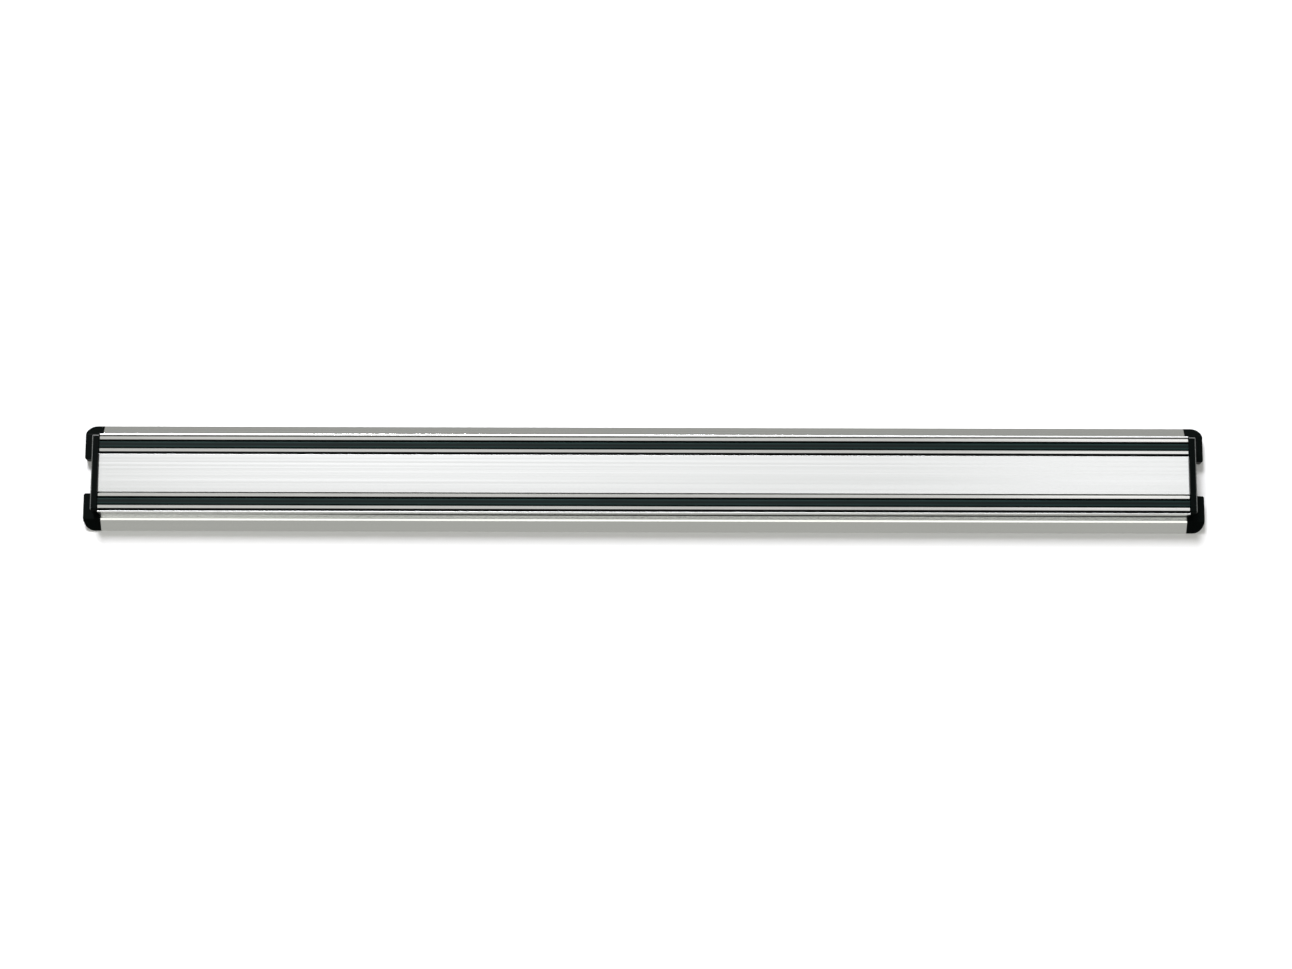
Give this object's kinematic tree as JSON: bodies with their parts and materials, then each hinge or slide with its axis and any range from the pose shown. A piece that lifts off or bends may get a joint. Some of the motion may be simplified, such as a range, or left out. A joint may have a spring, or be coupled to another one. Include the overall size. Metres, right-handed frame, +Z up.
{
  "type": "magnetic knife rack",
  "caption": "Wall-mounted magnetic knife rack: aluminium extrusion with magnet tracks, steel pole strips and black end caps.",
  "frame": {"origin": "middle of the back plane that lies against the wall", "axes": "+X along the rack to the right as seen from the front, +Y back into the wall, +Z up"},
  "size_m": [0.5, 0.0152, 0.0476],
  "materials": {
    "aluminium": "satin anodised, fine lengthwise grain",
    "pole_steel": "bright drawn steel with lengthwise streaks",
    "ferrite": "matt sintered",
    "filler_plastic": "satin, dark green-black",
    "cap_plastic": "satin black with a fine moulded texture"
  },
  "bodies": {
    "root": {"aluminium_profile": "aluminium", "left_end_cap": "cap_plastic", "lower_filler_strip": "filler_plastic", "lower_inner_pole": "pole_steel", "lower_magnet_1": "ferrite", "lower_magnet_2": "ferrite", "lower_magnet_3": "ferrite", "lower_magnet_4": "ferrite", "lower_magnet_5": "ferrite", "lower_magnet_6": "ferrite", "lower_magnet_7": "ferrite", "lower_magnet_8": "ferrite", "lower_outer_pole": "pole_steel", "right_end_cap": "cap_plastic", "upper_filler_strip": "filler_plastic", "upper_inner_pole": "pole_steel", "upper_magnet_1": "ferrite", "upper_magnet_2": "ferrite", "upper_magnet_3": "ferrite", "upper_magnet_4": "ferrite", "upper_magnet_5": "ferrite", "upper_magnet_6": "ferrite", "upper_magnet_7": "ferrite", "upper_magnet_8": "ferrite", "upper_outer_pole": "pole_steel"}
  },
  "joints": []
}
